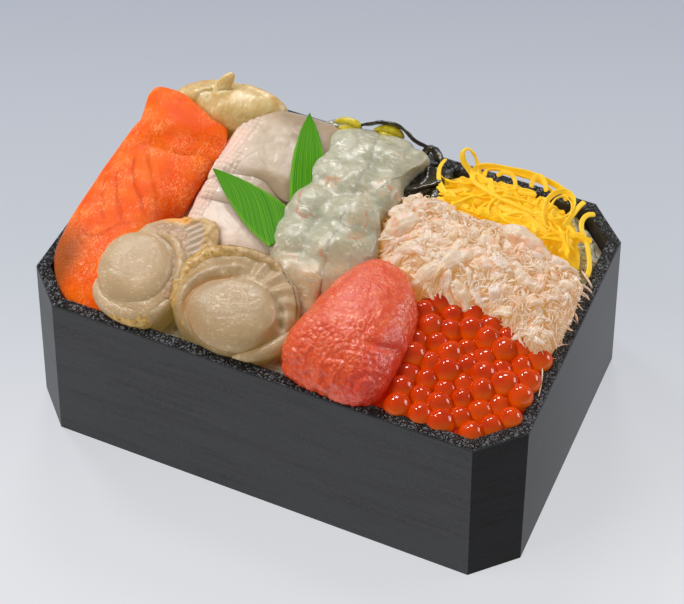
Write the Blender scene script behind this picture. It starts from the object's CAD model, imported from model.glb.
"""Looks of the seafood rice box: each food piece is built finely where its solid lies.

Lengths are in millimetres while a piece is made, and its mesh is brought to metres at the end.
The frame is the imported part's: origin at the middle of the box's base, +X its length, +Z up.
"""
import math
import random

import bpy
import numpy as np
from mathutils import Matrix, Vector
from mathutils.bvhtree import BVHTree


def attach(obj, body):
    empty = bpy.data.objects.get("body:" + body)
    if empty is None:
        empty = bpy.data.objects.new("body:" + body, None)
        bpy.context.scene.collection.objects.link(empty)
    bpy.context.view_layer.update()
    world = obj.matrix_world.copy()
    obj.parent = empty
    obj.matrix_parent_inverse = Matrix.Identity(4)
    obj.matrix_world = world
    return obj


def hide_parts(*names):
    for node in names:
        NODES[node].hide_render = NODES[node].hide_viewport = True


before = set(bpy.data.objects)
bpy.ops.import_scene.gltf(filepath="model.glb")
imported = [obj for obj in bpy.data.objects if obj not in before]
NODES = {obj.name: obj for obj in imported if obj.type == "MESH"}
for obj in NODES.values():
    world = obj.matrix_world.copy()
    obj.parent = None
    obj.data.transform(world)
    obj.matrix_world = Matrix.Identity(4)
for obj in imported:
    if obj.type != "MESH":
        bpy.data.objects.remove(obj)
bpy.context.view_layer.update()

MM = 0.001
TAU = 2.0 * math.pi

# The box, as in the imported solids
BOX_LENGTH = 155.0
BOX_WIDTH = 103.0
WALL = 4.0
INNER_CORNER = 111.34
BED_FLOOR = 4.4
BED_LEVEL = 50.0
BED_MOUND = 6.0

# The camera, solved from the box's corners
AZIMUTH = math.radians(23.89)
ELEVATION = math.radians(48.58)
DISTANCE = 0.62326
TARGET = Vector((-0.00062, 0.0100, 0.02325))
FOCAL = 105.0


# Smooth curves and noise

def loop_points(points, turns):
    """Points on the smooth closed curve through some points, at shares of a turn."""
    pts = np.array(points, float)
    place = (np.asarray(turns) % 1.0) * len(pts)
    index = place.astype(int)
    t = (place - index)[:, None]
    a, b, c, d = (pts[(index + step) % len(pts)] for step in (-1, 0, 1, 2))
    return 0.5 * (2 * b + (c - a) * t + (2 * a - 5 * b + 4 * c - d) * t ** 2
                  + (3 * b - a - 3 * c + d) * t ** 3)


def path_points(points, shares):
    """Points on the smooth open curve through some points, at shares of its length."""
    pts = np.array(points, float)
    ends = np.vstack([2 * pts[0] - pts[1], pts, 2 * pts[-1] - pts[-2]])
    place = np.clip(np.asarray(shares, float), 0.0, 0.999999) * (len(pts) - 1)
    index = place.astype(int)
    t = (place - index)[:, None]
    a, b, c, d = (ends[index + step] for step in (0, 1, 2, 3))
    return 0.5 * (2 * b + (c - a) * t + (2 * a - 5 * b + 4 * c - d) * t ** 2
                  + (3 * b - a - 3 * c + d) * t ** 3)


def hashed(i, j, k, seed):
    """A repeatable number from 0 to 1 for each corner of a lattice."""
    n = (i * 73856093) ^ (j * 19349663) ^ (k * 83492791) ^ (seed * 40503001)
    n = (n ^ (n >> 13)) & 0x7FFFFFFF
    n = (n * 1103515245 + 12345) & 0x7FFFFFFF
    n = (n ^ (n >> 15)) & 0x7FFFFFFF
    n = (n * 1103515245 + 12345) & 0x7FFFFFFF
    return ((n >> 8) & 0xFFFF) / 65535.0


def rough(p, size, octaves=1, seed=0):
    """Smooth noise from -1 to 1 at points, with bumps of a size in millimetres."""
    total = np.zeros(len(p))
    weight = 0.0
    share = 1.0
    for octave in range(octaves):
        q = p / size + 31.7 * octave
        cell = np.floor(q).astype(np.int64)
        f = q - cell
        f = f * f * (3.0 - 2.0 * f)
        value = np.zeros(len(p))
        for dx in (0, 1):
            for dy in (0, 1):
                for dz in (0, 1):
                    corner = hashed(cell[:, 0] + dx, cell[:, 1] + dy, cell[:, 2] + dz, seed + octave)
                    w = ((f[:, 0] if dx else 1 - f[:, 0]) * (f[:, 1] if dy else 1 - f[:, 1])
                         * (f[:, 2] if dz else 1 - f[:, 2]))
                    value += w * corner
        total += share * (2.0 * value - 1.0)
        weight += share
        share *= 0.5
        size *= 0.5
    return total / weight


def grains_noise(p, size, seed=0):
    """Distance to the nearest of scattered seeds, 0 at a seed and about 1 between them."""
    q = p / size
    cell = np.floor(q).astype(np.int64)
    best = np.full(len(p), 9.0)
    for dx in (-1, 0, 1):
        for dy in (-1, 0, 1):
            for dz in (-1, 0, 1):
                c = cell + np.array((dx, dy, dz))
                spot = np.stack([c[:, axis] + hashed(c[:, 0], c[:, 1], c[:, 2], seed + axis)
                                 for axis in range(3)], 1)
                best = np.minimum(best, ((q - spot) ** 2).sum(1))
    return np.sqrt(best)


def path_distance(xy, points, samples=40):
    """How far plan points lie from the smooth curve through some points, and where along it."""
    path = path_points([p[:2] for p in points], np.linspace(0, 1, samples))
    best = np.full(len(xy), 1e9)
    where = np.zeros(len(xy))
    for index in range(samples - 1):
        a = path[index]
        ab = path[index + 1] - a
        t = np.clip(((xy - a) @ ab) / max(1e-9, ab @ ab), 0.0, 1.0)
        d = np.hypot(*(xy - a - t[:, None] * ab).T)
        near = d < best
        best[near] = d[near]
        where[near] = (index + t[near]) / (samples - 1)
    return best, where


def ridge(p, points, width, fade=0.15):
    """A soft line along a curve: 1 on it, 0 away from it, weaker at its ends."""
    d, where = path_distance(p[:, :2], points)
    ends = np.clip(np.minimum(where, 1.0 - where) / fade, 0.0, 1.0) if fade else 1.0
    return np.exp(-(d / width) ** 2) * (0.35 + 0.65 * ends if fade else 1.0)


def blot(p, centre, radius):
    """A soft patch: 1 at its centre, 0 away from it."""
    d = np.hypot(p[:, 0] - centre[0], p[:, 1] - centre[1])
    return np.exp(-(d / radius) ** 2)


def step_up(value, low, high):
    """A smooth step from 0 below low to 1 above high."""
    t = np.clip((value - low) / (high - low), 0.0, 1.0)
    return t * t * (3.0 - 2.0 * t)


def wavered(p, amount, size, x_seed=None, y_seed=None):
    """Points shifted by noise in the plan, so that a line measured from them wanders."""
    moved = p.copy()
    for axis, seed in ((0, x_seed), (1, y_seed)):
        if seed is not None:
            moved[:, axis] += amount * rough(p, size, 2, seed)
    return moved


# Meshes

class Shape:
    """Points, faces and painted values of a mesh in the making."""

    def __init__(self, points, faces, **painted):
        self.points = np.asarray(points, float)
        self.faces = faces
        self.painted = painted

    def normals(self):
        """A unit normal at each point."""
        mesh = bpy.data.meshes.new("measure")
        mesh.from_pydata(self.points.tolist(), [], self.faces)
        out = np.zeros(len(self.points) * 3, np.float32)
        mesh.vertex_normals.foreach_get("vector", out)
        bpy.data.meshes.remove(mesh)
        return out.reshape(-1, 3).astype(float)

    def upward(self, low, high):
        """A share that goes from 0 to 1 as the surface turns upward between two parts of Z."""
        return step_up(self.normals()[:, 2], low, high)

    def push(self, amount):
        """Move each point along its normal."""
        self.points = self.points + self.normals() * np.asarray(amount)[:, None]
        return self

    def paint(self, **values):
        """Keep values at the points for the material."""
        for name, value in values.items():
            self.painted[name] = np.broadcast_to(np.asarray(value, float), len(self.points)).copy()
        return self

    def tree(self):
        """A search tree over the faces."""
        return BVHTree.FromPolygons([Vector(p) for p in self.points], self.faces)


def joined(*shapes):
    """Several shapes as one."""
    names = sorted({name for shape in shapes for name in shape.painted})
    points = []
    faces = []
    painted = {name: [] for name in names}
    start = 0
    for shape in shapes:
        points.append(shape.points)
        faces.extend([[v + start for v in face] for face in shape.faces])
        for name in names:
            painted[name].append(shape.painted.get(name, np.zeros(len(shape.points))))
        start += len(shape.points)
    return Shape(np.vstack(points), faces, **{n: np.concatenate(v) for n, v in painted.items()})


def dress(name, shape, material, node):
    """Make a shape into a scene piece that stands for a node."""
    mesh = bpy.data.meshes.new(name)
    mesh.from_pydata((shape.points * MM).tolist(), [], shape.faces)
    mesh.polygons.foreach_set("use_smooth", [True] * len(mesh.polygons))
    for label, values in shape.painted.items():
        layer = mesh.attributes.new(label, "FLOAT", "POINT")
        layer.data.foreach_set("value", np.asarray(values, np.float32))
    mesh.materials.append(material)
    piece = bpy.data.objects.new(name, mesh)
    bpy.context.scene.collection.objects.link(piece)
    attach(piece, "root")
    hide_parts(node)


def ring_faces(rings, spokes, first=0, closed=True):
    """Quads between consecutive rings of points."""
    faces = []
    last = spokes if closed else spokes - 1
    for r in range(rings - 1):
        a = first + r * spokes
        b = a + spokes
        for s in range(last):
            n = (s + 1) % spokes
            faces.append([a + s, a + n, b + n, b + s])
    return faces


def grid_border(rows, columns):
    """The outer points of a grid, in order around it."""
    grid = np.arange(rows * columns).reshape(rows, columns)
    return [int(v) for v in (*grid[:, 0], *grid[-1, 1:], *grid[-2::-1, -1], *grid[0, -2:0:-1])]


def cap(outline, top, base, spokes=300, rings=110, skirt=8, tuck=0.05):
    """A soft body over a plan outline whose points give its edge height.

    top(x, y, share, edge) gives the height of its upper face, base(x, y) of its underside.
    """
    turns = np.arange(spokes) / spokes
    rim = loop_points(outline, turns)
    following = np.roll(rim, -1, axis=0)
    if np.sum(rim[:, 0] * following[:, 1] - rim[:, 1] * following[:, 0]) < 0.0:
        rim = rim[::-1].copy()
    middle = np.array(outline, float).mean(0)
    shares = np.sin(np.linspace(0, 1, rings + 1)[1:] * math.pi / 2)
    rows = []
    start = np.array([[middle[0], middle[1]]])
    z0 = top(start[:, 0], start[:, 1], np.zeros(1), np.array([rim[:, 2].mean()]))
    rows.append(np.array([[middle[0], middle[1], float(z0[0])]]))
    for share in shares:
        xy = middle[:2] + (rim[:, :2] - middle[:2]) * share
        z = top(xy[:, 0], xy[:, 1], np.full(spokes, share), rim[:, 2])
        rows.append(np.column_stack([xy, z]))
    for index in range(1, skirt + 1):
        f = index / skirt
        xy = middle[:2] + (rim[:, :2] - middle[:2]) * (1.0 - tuck * f ** 2)
        low = base(xy[:, 0], xy[:, 1])
        rows.append(np.column_stack([xy, rim[:, 2] + (low - rim[:, 2]) * f]))
    low = float(np.asarray(base(middle[:1], middle[1:2])).ravel()[0])
    rows.append(np.array([[middle[0], middle[1], low]]))
    count = rings + skirt
    faces = [[0, 1 + s, 1 + (s + 1) % spokes] for s in range(spokes)]
    faces += [face[::-1] for face in ring_faces(count, spokes, first=1)]
    last = 1 + count * spokes
    edge = last - spokes
    faces += [[last, edge + (s + 1) % spokes, edge + s] for s in range(spokes)]
    return Shape(np.vstack(rows), faces)


def soft_top(crown, slope=(0.0, 0.0), middle=(0.0, 0.0), power=2.2, bend=0.4):
    """A pillow's upper face: from its edge height up to a crown that may slope."""

    def top(x, y, share, edge):
        high = crown + slope[0] * (x - middle[0]) + slope[1] * (y - middle[1])
        return edge + (high - edge) * np.clip(1.0 - share ** power, 0.0, 1.0) ** bend

    return top


def pillow(outline, crown, slope=(0.0, 0.0), base=None, power=2.2, bend=0.4, **sizes):
    """A cap with a plain soft top."""
    middle = np.array(outline, float).mean(0)
    return cap(outline, soft_top(crown, slope, middle, power, bend), base or bed_rest, **sizes)


def bed_height(x, y):
    """The height of the rice: level at the walls, mounded behind the middle."""
    across = np.exp(-((x + 25.0) / 48.0) ** 4)
    deep = np.exp(-((y - 18.0) / 26.0) ** 4)
    return BED_LEVEL + BED_MOUND * across * deep


def bed_rest(x, y):
    """The height of the underside of a piece that rests on the rice."""
    return bed_height(x, y) + 0.5


def level(z):
    """A flat underside at a height."""
    return lambda x, y: np.full(np.shape(x), float(z))


def tube(points, radii, sides=24, steps=60, squash=1.0, power=1.0, ends=6.0, roll=0.0):
    """A rounded body along a curve; squash flattens it, ends sets how blunt its tips are."""
    shares = np.linspace(0, 1, steps + 1)
    path = path_points(points, shares)
    ahead = np.gradient(path, axis=0)
    ahead /= np.maximum(np.linalg.norm(ahead, axis=1), 1e-9)[:, None]
    up = np.array([0.0, 0.0, 1.0])
    side = np.cross(ahead, up)
    bad = np.linalg.norm(side, axis=1) < 1e-3
    side[bad] = (1.0, 0.0, 0.0)
    side /= np.linalg.norm(side, axis=1)[:, None]
    over = np.cross(side, ahead)
    if roll:
        side, over = (math.cos(roll) * side + math.sin(roll) * over,
                      math.cos(roll) * over - math.sin(roll) * side)
    size = path_points([(r, 0.0, 0.0) for r in radii], shares)[:, 0]
    size = size * np.sqrt(np.clip(1.0 - np.abs(2 * shares - 1) ** ends, 1e-4, 1.0))
    angles = np.arange(sides) / sides * TAU
    c = np.sign(np.cos(angles)) * np.abs(np.cos(angles)) ** power
    s = np.sign(np.sin(angles)) * np.abs(np.sin(angles)) ** power
    pts = (path[:, None, :] + size[:, None, None] * (c[None, :, None] * side[:, None, :]
           + squash * s[None, :, None] * over[:, None, :]))
    pts = pts.reshape(-1, 3)
    count = steps + 1
    faces = [face[::-1] for face in ring_faces(count, sides)]
    faces.append(list(range(sides)))
    faces.append(list(range((count - 1) * sides, count * sides))[::-1])
    along = np.repeat(shares, sides)
    around = np.tile(np.arange(sides) / sides, count)
    return Shape(pts, faces, along=along, around=around)


def ball(centre, radii, turn=0.0, tilt=0.0, sides=32, rows=20):
    """A rounded body of three radii, turned about Z after a tilt about Y."""
    place = Matrix.Rotation(turn, 3, "Z") @ Matrix.Rotation(tilt, 3, "Y")
    place = np.array(place)
    heights = np.linspace(-math.pi / 2, math.pi / 2, rows + 1)[1:-1]
    angles = np.arange(sides) / sides * TAU
    pts = [np.array([[0.0, 0.0, -1.0]])]
    for h in heights:
        pts.append(np.column_stack([math.cos(h) * np.cos(angles), math.cos(h) * np.sin(angles),
                                    np.full(sides, math.sin(h))]))
    pts.append(np.array([[0.0, 0.0, 1.0]]))
    pts = np.vstack(pts) * np.array(radii)
    faces = [[0, 1 + (s + 1) % sides, 1 + s] for s in range(sides)]
    faces += ring_faces(rows - 1, sides, first=1)
    last = len(pts) - 1
    edge = last - sides
    faces += [[last, edge + s, edge + (s + 1) % sides] for s in range(sides)]
    return Shape(pts @ place.T + np.array(centre), faces)


def sheet(place, along, across, thickness):
    """A thin wavy slice: place(share, side) gives its middle surface, both arrays."""
    shares, sides = np.meshgrid(np.linspace(0, 1, along + 1), np.linspace(-1, 1, across + 1),
                                indexing="ij")
    mid = place(shares.ravel(), sides.ravel())
    faces = ring_faces(along + 1, across + 1, closed=False)
    flat = Shape(mid, faces)
    normal = flat.normals()
    edge = np.clip(1.02 - np.abs(sides.ravel()) ** 8, 0.1, 1.0)
    half = 0.5 * thickness * np.sqrt(edge)[:, None]
    count = len(mid)
    upper = mid + normal * half
    lower = mid - normal * half
    all_faces = [list(face) for face in faces]
    all_faces += [[v + count for v in face][::-1] for face in faces]
    border = grid_border(along + 1, across + 1)
    for index, v in enumerate(border):
        n = border[(index + 1) % len(border)]
        all_faces.append([v, n, n + count, v + count])
    return Shape(np.vstack([upper, lower]), all_faces, along=np.tile(shares.ravel(), 2),
                 side=np.tile(sides.ravel(), 2))


def tone(code):
    """A linear colour from its usual six-digit code."""
    parts = [int(code[i:i + 2], 16) / 255.0 for i in (1, 3, 5)]
    lin = [c / 12.92 if c <= 0.04045 else ((c + 0.055) / 1.055) ** 2.4 for c in parts]
    return (*lin, 1.0)


class Paint:
    """A procedural material whose texture sizes are in millimetres."""

    def __init__(self, name, roughness, **values):
        self.material = bpy.data.materials.new(name)
        self.material.use_nodes = True
        self.nodes = self.material.node_tree.nodes
        self.links = self.material.node_tree.links
        self.shader = self.nodes["Principled BSDF"]
        self.colour = None
        self.set(Roughness=roughness, **values)
        where = self.nodes.new("ShaderNodeTexCoord")
        scale = self.nodes.new("ShaderNodeVectorMath")
        scale.operation = "SCALE"
        scale.inputs["Scale"].default_value = 1.0 / MM
        self.links.new(where.outputs["Object"], scale.inputs[0])
        self.place = scale.outputs[0]

    def set(self, **values):
        """Set inputs of the shader, named with _ for each space."""
        for label, value in values.items():
            self.put(self.shader.inputs[label.replace("_", " ")], value)

    def put(self, socket, value):
        """Set an input to a value or join it to an output."""
        if isinstance(value, bpy.types.NodeSocket):
            self.links.new(value, socket)
        elif isinstance(value, str):
            socket.default_value = tone(value)
        else:
            socket.default_value = value

    def stretched(self, x, y, z, turn=0.0):
        """The place with its axes scaled, so that textures run longer where the factor is small."""
        node = self.nodes.new("ShaderNodeMapping")
        node.inputs["Scale"].default_value = (x, y, z)
        node.inputs["Rotation"].default_value = (0.0, 0.0, turn)
        self.links.new(self.place, node.inputs["Vector"])
        return node.outputs[0]

    def noise(self, size, detail=3.0, roughness=0.55, warp=0.0, place=None):
        """Smooth noise with features of a size."""
        node = self.nodes.new("ShaderNodeTexNoise")
        self.links.new(place or self.place, node.inputs["Vector"])
        node.inputs["Scale"].default_value = 1.0 / size
        node.inputs["Detail"].default_value = detail
        node.inputs["Roughness"].default_value = roughness
        node.inputs["Distortion"].default_value = warp
        return node.outputs["Fac"]

    def cells(self, size, output="Distance"):
        """Distance within scattered cells of a size, or a colour for each."""
        node = self.nodes.new("ShaderNodeTexVoronoi")
        self.links.new(self.place, node.inputs["Vector"])
        node.inputs["Scale"].default_value = 1.0 / size
        return node.outputs[output]

    def axes(self, vector):
        """The three parts of a vector, by their letters."""
        node = self.nodes.new("ShaderNodeSeparateXYZ")
        self.links.new(vector, node.inputs[0])
        return node.outputs

    def painted(self, name):
        """A value kept at the mesh's points."""
        node = self.nodes.new("ShaderNodeAttribute")
        node.attribute_name = name
        return node.outputs["Fac"]

    def maths(self, operation, a, b=0.0, clamp=False):
        """One sum of two values."""
        node = self.nodes.new("ShaderNodeMath")
        node.operation = operation
        node.use_clamp = clamp
        self.put(node.inputs[0], a)
        self.put(node.inputs[1], b)
        return node.outputs[0]

    def ramp(self, value, low, high, a=0.0, b=1.0):
        """A value mapped from one range to another, held at its ends."""
        node = self.nodes.new("ShaderNodeMapRange")
        node.interpolation_type = "SMOOTHSTEP"
        self.put(node.inputs["Value"], value)
        for label, number in (("From Min", low), ("From Max", high), ("To Min", a), ("To Max", b)):
            node.inputs[label].default_value = number
        return node.outputs["Result"]

    def blend(self, share, a, b):
        """A mix of two colours."""
        node = self.nodes.new("ShaderNodeMix")
        node.data_type = "RGBA"
        self.put(node.inputs["Factor"], share)
        self.put(node.inputs["A"], a)
        self.put(node.inputs["B"], b)
        return node.outputs["Result"]

    def patches(self, size, low, high, a=0.0, b=1.0, detail=3.0):
        """Soft patches of a size."""
        return self.ramp(self.noise(size, detail), low, high, a, b)

    def clouded(self, share, dark, light):
        """Start the base colour as a mix of two."""
        self.colour = self.blend(share, dark, light)
        self.set(Base_Color=self.colour)

    def over(self, share, colour, most=None):
        """Lay a colour over the base colour where a share or a painted value says, up to the most."""
        share = self.painted(share) if isinstance(share, str) else share
        if most is not None:
            share = self.maths("MULTIPLY", share, most)
        self.colour = self.blend(share, self.colour, colour)
        self.set(Base_Color=self.colour)

    def lit(self, value, strength):
        """A faint glow of a colour, for clear things lit from within."""
        self.set(Emission_Color=value, Emission_Strength=strength)

    def relief(self, layers):
        """A normal bent by pairs of height and depth in millimetres."""
        last = None
        for height, depth in layers:
            node = self.nodes.new("ShaderNodeBump")
            node.inputs["Strength"].default_value = 1.0
            node.inputs["Distance"].default_value = depth * MM
            self.put(node.inputs["Height"], height)
            if last is not None:
                self.links.new(last, node.inputs["Normal"])
            last = node.outputs["Normal"]
        return last

    def bumped(self, *layers):
        """Fine relief of the surface."""
        self.set(Normal=self.relief(layers))

    def wet(self, weight, roughness, *layers):
        """A wet coat whose own relief breaks its highlights up."""
        self.set(Coat_Weight=weight, Coat_Roughness=roughness, Coat_IOR=1.4, Coat_Normal=self.relief(layers))


def flesh(name, roughness, glow, glow_size, bleed=(1.0, 0.45, 0.25), coat=0.25, **values):
    """A moist food material that light enters a little, its red the farthest."""
    return Paint(name, roughness, Subsurface_Weight=glow, Subsurface_Scale=glow_size * MM,
                 Subsurface_Radius=bleed, Coat_Weight=coat, Coat_Roughness=0.12, **values)


# The box

def paint_tray():
    """Black foam: streaked outer walls, a rim of fine beads with small glints."""
    paint = Paint("foam", 0.5)
    geometry = paint.nodes.new("ShaderNodeNewGeometry")
    facing = paint.axes(geometry.outputs["Normal"])
    spot = paint.axes(geometry.outputs["Position"])
    upward = paint.ramp(facing["Z"], 0.5, 0.8)
    grain = paint.noise(3.0, 4.0, 0.6, place=paint.stretched(0.12, 0.12, 1.6))
    wide = paint.noise(14.0, 3.0, 0.5, place=paint.stretched(0.35, 0.35, 1.5))
    bead_size = 0.5
    beads = paint.cells(bead_size)
    glint = paint.cells(bead_size, output="Color")
    glint_value = paint.nodes.new("ShaderNodeSeparateColor")
    paint.links.new(glint, glint_value.inputs[0])
    spark = paint.ramp(glint_value.outputs[0], 0.62, 0.98)
    wall = paint.blend(paint.ramp(grain, 0.35, 0.7), "#171717", "#2d2d2e")
    wall = paint.blend(paint.ramp(wide, 0.4, 0.65), wall, "#2a2b2c")
    wall = paint.blend(paint.patches(0.6, 0.35, 0.65, 0.0, 0.5, detail=2.0), wall, "#3a3b3d")
    far = paint.ramp(spot["Y"], -0.045, 0.045)
    right = paint.ramp(facing["X"], 0.85, 0.98)
    turned = paint.maths("SUBTRACT", facing["X"], facing["Y"])
    near_corner = paint.ramp(turned, 1.3, 1.4, 0.0, 0.6)
    wall = paint.blend(near_corner, wall, "#0b0b0d")
    near = paint.maths("MULTIPLY", right, paint.maths("SUBTRACT", 1.0, far))
    wall = paint.blend(paint.maths("MULTIPLY", near, 0.45), wall, "#0b0b0d")
    wall = paint.blend(paint.maths("MULTIPLY", paint.maths("MULTIPLY", right, far), 0.35), wall, "#5c5d60")
    bead = paint.blend(spark, "#111214", "#6c6f72")
    dim = paint.maths("ADD", paint.maths("MULTIPLY", near_corner, 0.55), paint.maths("MULTIPLY", near, 0.2))
    paint.set(Base_Color=paint.blend(upward, wall, bead), Roughness=paint.ramp(upward, 0.0, 1.0, 0.42, 0.3),
              Specular_IOR_Level=paint.maths("SUBTRACT", 0.42, dim, clamp=True))
    fine = paint.noise(0.5, 2.0, 0.5)
    paint.bumped((paint.maths("MULTIPLY", beads, upward), -0.45), (grain, 0.05), (fine, 0.03))
    node = NODES["tray"]
    node.data.materials.clear()
    node.data.materials.append(paint.material)


def build_rice():
    """A bed with the bumps of packed grains, and whole grains on it where it shows."""
    edge = WALL + 0.35
    half_x = BOX_LENGTH / 2 - edge
    half_y = BOX_WIDTH / 2 - edge
    corner = INNER_CORNER - 0.5
    rows, columns = 240, 160
    gx, gy = np.meshgrid(np.linspace(-half_x, half_x, rows), np.linspace(-half_y, half_y, columns),
                         indexing="ij")
    spill = np.maximum(0.0, np.abs(gx) + np.abs(gy) - corner)
    gx = gx - np.sign(gx) * spill * 0.5
    gy = gy - np.sign(gy) * spill * 0.5
    flat = np.column_stack([gx.ravel(), gy.ravel(), np.zeros(gx.size)])
    flat[:, 2] = bed_height(flat[:, 0], flat[:, 1]) + 0.7 * rough(flat, 3.0, 2, 4) - 0.3
    faces = [face[::-1] for face in ring_faces(rows, columns, closed=False)]
    border = grid_border(rows, columns)
    low = flat[border].copy()
    low[:, 2] = BED_FLOOR
    count = len(flat)
    for index, v in enumerate(border):
        n = (index + 1) % len(border)
        faces.append([v, border[n], count + n, count + index])
    faces.append(list(range(count, count + len(border))))
    core = Shape(np.vstack([flat, low]), faces)
    paint = flesh("rice", 0.42, 0.35, 1.5, coat=0.15)
    paint.clouded(paint.patches(2.2, 0.35, 0.7), "#cfc4a8", "#f0eada")
    paint.bumped((paint.noise(1.0, 3.0), 0.2))
    dress("rice_core", core, paint.material, "rice_bed")
    draw = random.Random(3)
    grains = []
    windows = [((56, 73), (-22, 47), 420), ((-3, 8), (-47.2, -41), 60), ((20, 73), (43, 47.2), 120)]
    for (x0, x1), (y0, y1), number in windows:
        for _ in range(number):
            x = draw.uniform(x0, x1)
            y = draw.uniform(y0, y1)
            if abs(x) + abs(y) > INNER_CORNER - 3.0 or abs(x) > 72.6 or abs(y) > 46.6:
                continue
            z = float(bed_height(x, y)) + draw.uniform(0.1, 1.0)
            grains.append(ball((x, y, z), (2.6, 1.2, 1.15), draw.uniform(0, math.pi),
                               draw.uniform(-0.35, 0.35), sides=10, rows=7))
    dress("rice_grains", joined(*grains), paint.material, "rice_bed")


def build_salmon():
    """Two salmon slices: the lower with its muscle blocks, the upper folded and smooth."""
    low = [(-51, -12, 57), (-47, -3, 58), (-46, 10, 60), (-46, 24, 60), (-52, 34, 60),
           (-66, 34, 60), (-74.5, 24, 61), (-75.3, 6, 61), (-75.5, -14, 60), (-75.3, -26, 57.8),
           (-73.2, -36.5, 55.5), (-64, -46.6, 54), (-50, -46.6, 54), (-48, -30, 55)]
    seams = [([(-67.5, 5.0), (-66.4, 1.8), (-63.4, -3.5), (-58.5, -8.6), (-54.0, -14.0)], 0.7),
             ([(-69.5, -2), (-67.6, -7.0), (-64.0, -12.8), (-59.0, -19.3)], 0.6),
             ([(-72.0, -6), (-70.6, -10.6), (-67.7, -15.7), (-64.6, -20.6)], 0.45),
             ([(-64.5, 7.5), (-61.5, 3.5), (-58.0, -1.5), (-54.2, -6.5), (-51.5, -11.5)], 0.6),
             ([(-69.7, -25.5), (-66.8, -27.5), (-63.0, -25.7), (-59.6, -20.5), (-55.8, -18.4)], 0.5),
             ([(-74.2, -12), (-73.0, -20.0), (-71.2, -25.7), (-68.4, -29.2), (-64.2, -32.1)], 0.4),
             ([(-49.8, -1.3), (-48.2, -6.0), (-46.1, -11.0)], 0.4),
             ([(-73.8, 2), (-72.8, -3), (-71.6, -8)], 0.3)]
    valley = [(-56.5, 10.0), (-54.9, 7.2), (-51.9, 0.4), (-49.8, -5.7), (-47.8, -13.7)]
    lower = pillow(low, 64.0, slope=(-0.02, 0.07), spokes=420, rings=130)
    p = lower.points
    top = lower.upward(0.1, 0.5)
    dz = 0.5 * rough(p, 9.0, 2, 1) + 0.15 * rough(p, 2.2, 2, 2)
    waver = wavered(p, 0.5, 3.0, x_seed=31)
    line = np.zeros(len(p))
    for points, depth in seams:
        path = np.array(points)
        dz -= 0.55 * depth * ridge(waver, points, 0.6)
        beside = [(x + 1.3, y + 0.9) for x, y in path]
        dz += 0.4 * depth * ridge(waver, beside, 1.3)
        line = np.maximum(line, ridge(waver, points, 0.5) * depth)
    deep = ridge(p, valley, 2.8)
    dz -= 0.5 * ridge(p, valley, 2.6)
    deep = np.maximum(deep, 0.8 * ridge(p, [(-58.0, -18.8), (-61.3, -25.0), (-62.5, -32.3),
                                            (-60.8, -38.2)], 2.6))
    brown = step_up(-p[:, 1] - 0.4 * (p[:, 0] + 72), 20.0, 34.0) * step_up(-p[:, 0], 62.0, 69.0)
    lower.points[:, 2] += dz * top
    lower.paint(line=line * top, deep=deep, brown=brown)
    up = [(-45.2, 15.5, 62), (-44.8, 20, 63), (-46.5, 25.3, 64), (-54, 29, 66), (-63, 33, 67),
          (-69, 33.5, 67.8), (-73.6, 32.8, 67.6), (-75.0, 29.5, 67), (-74.2, 25, 65.8),
          (-72.8, 18, 64.8), (-72.0, 13, 64.1), (-69, 9.5, 63.8), (-62, 10.5, 64.3), (-54, 11.5, 64.4)]
    upper = pillow(up, 68.6, slope=(-0.05, 0.13), base=level(60.5), spokes=360, rings=100, power=2.0,
                   bend=0.62)
    p = upper.points
    top = upper.upward(0.1, 0.5)
    fold = ridge(p, [(-66, 12), (-60, 15), (-53, 17), (-46, 19)], 2.6, 0.0)
    crest = ridge(p, [(-71, 28), (-66, 22), (-60, 19), (-52, 13.5)], 2.6)
    upper.points[:, 2] += top * (0.35 * rough(p, 8.0, 2, 5) + 0.1 * rough(p, 2.0, 2, 6)
                                 - 0.5 * fold + 0.5 * crest)
    upper.paint(line=0.0, deep=0.9 * ridge(p, [(-62, 24), (-54, 22), (-46, 21)], 4.5, 0.0), brown=0.0)
    paint = flesh("salmon", 0.5, 0.25, 2.0, Specular_IOR_Level=0.05)
    paint.clouded(paint.patches(7.0, 0.35, 0.7), "#ea5600", "#f06a00")
    paint.over("deep", "#e84a00", 0.6)
    paint.over("line", "#cc3c00")
    waves = paint.noise(1.3, 2.0, 0.5, warp=0.6, place=paint.stretched(2.4, 0.7, 1.0, 0.9))
    waves = paint.maths("ABSOLUTE", paint.maths("SUBTRACT", waves, 0.5), 0.0)
    where = paint.patches(8.0, 0.4, 0.6, 0.1, 1.0, detail=2.0)
    flecks = paint.maths("MULTIPLY", paint.ramp(waves, 0.0, 0.04, 0.8, 0.0), where)
    paint.over(flecks, "#ffb880")
    paint.over("brown", "#9c5020")
    pebble = paint.cells(0.9)
    scratch = paint.noise(0.7, 2.0, 0.6, place=paint.stretched(1.4, 0.5, 1.0, 0.9))
    paint.bumped((pebble, 0.12), (scratch, 0.2))
    paint.lit("#ff3c00", 0.045)
    paint.wet(0.32, 0.06, (scratch, 0.24), (paint.noise(0.75, 1.0, 0.5, warp=0.4), 0.2))
    dress("salmon_low", lower, paint.material, "salmon_slice_lower")
    dress("salmon_high", upper, paint.material, "salmon_slice_upper")
    return [lower, upper]


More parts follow.
